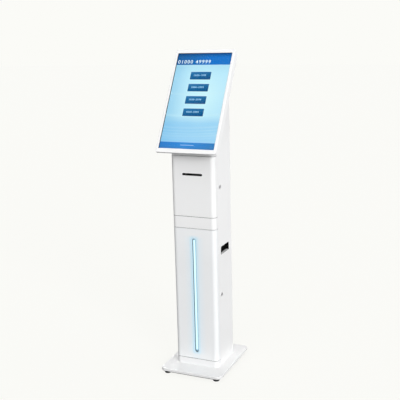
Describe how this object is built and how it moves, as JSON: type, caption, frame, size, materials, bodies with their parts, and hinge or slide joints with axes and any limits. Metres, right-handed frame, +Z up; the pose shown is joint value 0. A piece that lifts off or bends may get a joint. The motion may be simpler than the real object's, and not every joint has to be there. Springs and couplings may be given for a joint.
{
  "type": "floor standing touch screen ticket kiosk",
  "caption": "Free-standing ticket kiosk: tilted portrait touch screen on a white sheet-steel column with ticket slot, light bar, lockable doors, side hand grips and flat base.",
  "frame": {"origin": "on the floor under the middle of the base", "axes": "+Z up, the display and doors face -Y, +X to the right seen from the front"},
  "size_m": [0.3096, 0.3852, 1.5126],
  "materials": {
    "white_powder_coat": "fine-textured white powder coat, semi-gloss",
    "zinc_plated_sheet": "zinc-plated sheet, dull",
    "black_steel_plate": "blackened mill-finish plate",
    "bright_steel": "bright zinc or turned steel",
    "foot_rubber": "moulded black rubber",
    "black_plastic": "fine-textured black moulding",
    "rocker_plastic": "gloss black",
    "button_plastic": "gloss blue",
    "lock_chrome": "plated die casting",
    "lock_plug_metal": "dark nickel",
    "aluminium_extrusion": "satin anodised",
    "circuit_board": "white solder mask",
    "light_diffuser": "opal acrylic, lit cyan",
    "screen_glass": "clear touch glass with a black printed border",
    "screen_picture": "lit panel with a plain blue menu",
    "platen_rubber": "ground rubber",
    "gear_nylon": "natural nylon",
    "ticket_paper": "thermal paper"
  },
  "bodies": {
    "column": {"ballast_plate": "black_steel_plate", "base_cover": "white_powder_coat", "column_bolts": "bright_steel", "column_feet": "zinc_plated_sheet", "controller_box": "aluminium_extrusion", "cross_rails": "zinc_plated_sheet", "display_back_cover": "white_powder_coat", "display_bezel": "white_powder_coat", "display_bolts": "bright_steel", "display_mount_plate": "zinc_plated_sheet", "exit_guide": "black_plastic", "fan_frame": "black_plastic", "feed_motor": "bright_steel", "grip_cup_left": "black_plastic", "grip_cup_right": "black_plastic", "hinge_frame_leaves": "white_powder_coat", "hinge_pins": "bright_steel", "lcd_panel": "screen_picture", "lcd_rails": "zinc_plated_sheet", "lock_barrels": "lock_chrome", "lock_nuts": "bright_steel", "mid_band": "white_powder_coat", "neck_fascia": "white_powder_coat", "plinth_strip": "white_powder_coat", "power_inlet": "black_plastic", "power_supply": "black_plastic", "print_head": "aluminium_extrusion", "printer_chassis": "zinc_plated_sheet", "printer_shelf": "zinc_plated_sheet", "rear_panel": "white_powder_coat", "rear_panel_screws": "bright_steel", "roll_spindle": "bright_steel", "side_panel_left": "white_powder_coat", "side_panel_right": "white_powder_coat", "touch_glass": "screen_glass"},
    "upper_door": {"upper_door": "white_powder_coat", "ticket_bezel": "black_plastic", "upper_door_leaves": "white_powder_coat"},
    "lower_door": {"lower_door": "white_powder_coat", "led_channel": "aluminium_extrusion", "led_board": "circuit_board", "led_diffuser": "light_diffuser", "lower_door_leaves": "white_powder_coat"},
    "upper_lock": {"upper_lock_plug": "lock_plug_metal", "upper_lock_cam": "bright_steel"},
    "lower_lock": {"lower_lock_plug": "lock_plug_metal", "lower_lock_cam": "bright_steel"},
    "foot_fl": {"foot_front_left": "foot_rubber"},
    "foot_fr": {"foot_front_right": "foot_rubber"},
    "foot_rl": {"foot_rear_left": "foot_rubber"},
    "foot_rr": {"foot_rear_right": "foot_rubber"},
    "platen": {"platen_roller": "platen_rubber", "platen_gear": "gear_nylon"},
    "pinion": {"motor_pinion": "gear_nylon"},
    "roll": {"paper_roll": "ticket_paper"},
    "lid": {"printer_lid": "black_plastic"},
    "button": {"feed_button": "button_plastic"},
    "cutter": {"cutter_blade": "bright_steel"},
    "fan": {"fan_rotor": "black_plastic"},
    "rocker": {"power_rocker": "rocker_plastic"}
  },
  "joints": [
    {"name": "upper_door_hinge", "type": "hinge", "parent": "column", "child": "upper_door", "pos_m": [-0.1107, -0.064, 0.905], "axis": [0, 0, -1], "range_deg": [0, 110]},
    {"name": "lower_door_hinge", "type": "hinge", "parent": "column", "child": "lower_door", "pos_m": [-0.1107, -0.064, 0.3835], "axis": [0, 0, -1], "range_deg": [0, 110]},
    {"name": "upper_lock_turn", "type": "hinge", "parent": "column", "child": "upper_lock", "pos_m": [0.095, -0.038, 0.8994], "axis": [-1, 0, 0], "range_deg": [0, 90]},
    {"name": "lower_lock_turn", "type": "hinge", "parent": "column", "child": "lower_lock", "pos_m": [0.095, -0.038, 0.381], "axis": [-1, 0, 0], "range_deg": [0, 90]},
    {"name": "foot_fl_turn", "type": "hinge", "parent": "column", "child": "foot_fl", "pos_m": [-0.1255, -0.168, 0.012], "axis": [0, 0, 1], "continuous": true},
    {"name": "foot_fr_turn", "type": "hinge", "parent": "column", "child": "foot_fr", "pos_m": [0.1255, -0.168, 0.012], "axis": [0, 0, 1], "continuous": true},
    {"name": "foot_rl_turn", "type": "hinge", "parent": "column", "child": "foot_rl", "pos_m": [-0.1255, 0.168, 0.012], "axis": [0, 0, 1], "continuous": true},
    {"name": "foot_rr_turn", "type": "hinge", "parent": "column", "child": "foot_rr", "pos_m": [0.1255, 0.168, 0.012], "axis": [0, 0, 1], "continuous": true},
    {"name": "platen_spin", "type": "hinge", "parent": "column", "child": "platen", "pos_m": [0, -0.072, 0.952], "axis": [1, 0, 0], "continuous": true},
    {"name": "pinion_spin", "type": "hinge", "parent": "column", "child": "pinion", "pos_m": [0, -0.05616, 0.93616], "axis": [1, 0, 0], "continuous": true},
    {"name": "roll_spin", "type": "hinge", "parent": "column", "child": "roll", "pos_m": [0, 0.03, 0.844], "axis": [1, 0, 0], "continuous": true},
    {"name": "lid_hinge", "type": "hinge", "parent": "column", "child": "lid", "pos_m": [0, 0.022, 0.978], "axis": [-1, 0, 0], "range_deg": [0, 70]},
    {"name": "feed_button_press", "type": "slide", "parent": "lid", "child": "button", "axis": [0, 0, -1], "range_m": [0, 0.0015], "stiffness_N_per_m": 300, "springref_m": -0.001},
    {"name": "cutter_slide", "type": "slide", "parent": "column", "child": "cutter", "axis": [0, 0, 1], "range_m": [0, 0.008]},
    {"name": "fan_spin", "type": "hinge", "parent": "column", "child": "fan", "pos_m": [0, 0.084, 0.64], "axis": [0, 1, 0], "continuous": true},
    {"name": "power_rocker_tilt", "type": "hinge", "parent": "column", "child": "rocker", "pos_m": [-0.024, 0.1001, 0.115], "axis": [-1, 0, 0], "range_deg": [0, 24]}
  ],
  "couplings": [
    {"joint": "pinion_spin", "follows": "platen_spin", "ratio": -2.5}
  ]
}
